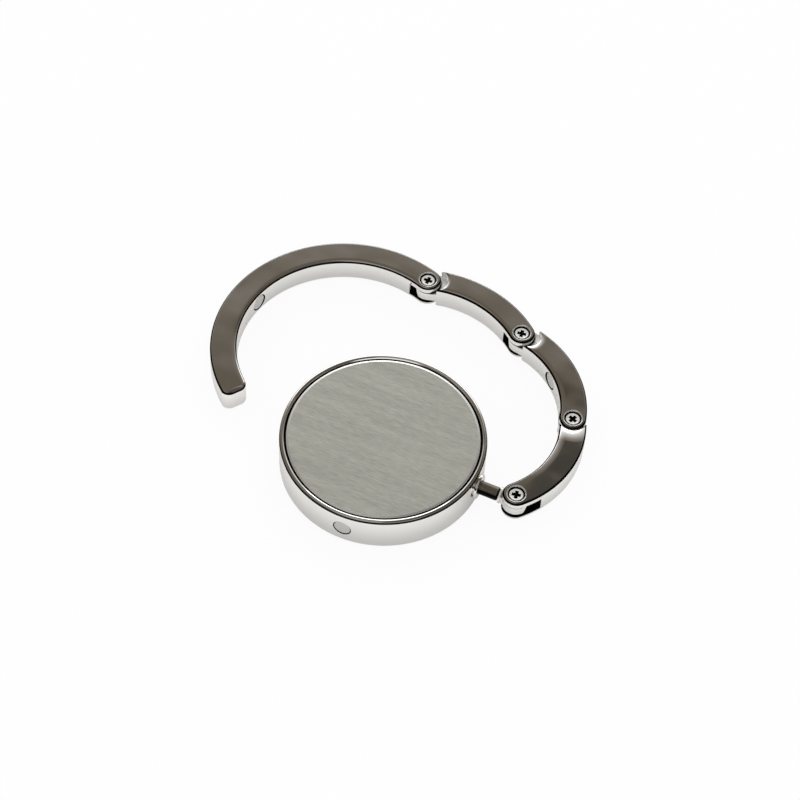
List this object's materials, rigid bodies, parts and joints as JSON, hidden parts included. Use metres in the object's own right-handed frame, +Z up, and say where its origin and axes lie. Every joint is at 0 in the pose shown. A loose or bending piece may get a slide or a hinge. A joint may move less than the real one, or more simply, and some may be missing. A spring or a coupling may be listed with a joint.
{
  "type": "folding purse hook",
  "caption": "Round table head with a swivel stud and a chain of four curved links that folds round it or opens into a hook for a bag.",
  "frame": {"origin": "middle of the underside of the rubber pad under the round head", "axes": "+X along the swivel stud, away from the head; +Z up through the head's inlay plate; the chain lies on the +Y side"},
  "size_m": [0.0886, 0.073, 0.0092],
  "materials": {
    "chrome": "polished dark nickel chrome plate on zinc casting",
    "brushed": "linear brushed stainless steel",
    "steel": "plain bright steel",
    "magnet": "nickel plated magnet",
    "nylon": "black nylon",
    "rubber": "black non-slip rubber",
    "tape": "double-sided adhesive tape"
  },
  "bodies": {
    "head": {"housing": "chrome", "top_plate": "brushed", "plate_tape": "tape", "base_plate": "steel", "base_pad": "rubber", "head_magnet_front": "magnet", "head_magnet_rear": "magnet", "stud_bush": "chrome"},
    "swivel": {"swivel_stud": "chrome", "wave_washer": "steel", "retaining_clip": "steel"},
    "link_a": {"link_a": "chrome", "link_a_screw": "steel", "link_a_washer": "nylon"},
    "link_b": {"link_b": "chrome", "link_b_screw": "steel", "link_b_washer": "nylon", "link_b_magnet": "magnet"},
    "link_c": {"link_c": "chrome", "link_c_screw": "steel", "link_c_washer": "nylon"},
    "hook_arm": {"hook_arm": "chrome", "hook_arm_screw": "steel", "hook_arm_washer": "nylon", "hook_arm_magnet": "magnet"}
  },
  "joints": [
    {"name": "swivel_turn", "type": "hinge", "parent": "head", "child": "swivel", "pos_m": [0, 0, 0.0045], "axis": [1, 0, 0], "continuous": true},
    {"name": "link_a_fold", "type": "hinge", "parent": "swivel", "child": "link_a", "pos_m": [0.0313, 0, 0.0045], "axis": [0, 0, 1], "range_deg": [-90, 32]},
    {"name": "link_b_fold", "type": "hinge", "parent": "link_a", "child": "link_b", "pos_m": [0.03475, 0.02395, 0.0045], "axis": [0, 0, 1], "range_deg": [-28.5, 0]},
    {"name": "link_c_fold", "type": "hinge", "parent": "link_b", "child": "link_c", "pos_m": [0.01549, 0.04112, 0.0045], "axis": [0, 0, 1], "range_deg": [-6, 15]},
    {"name": "hook_arm_fold", "type": "hinge", "parent": "link_c", "child": "hook_arm", "pos_m": [-0.00984, 0.04604, 0.0045], "axis": [0, 0, 1], "range_deg": [-2, 12]}
  ]
}
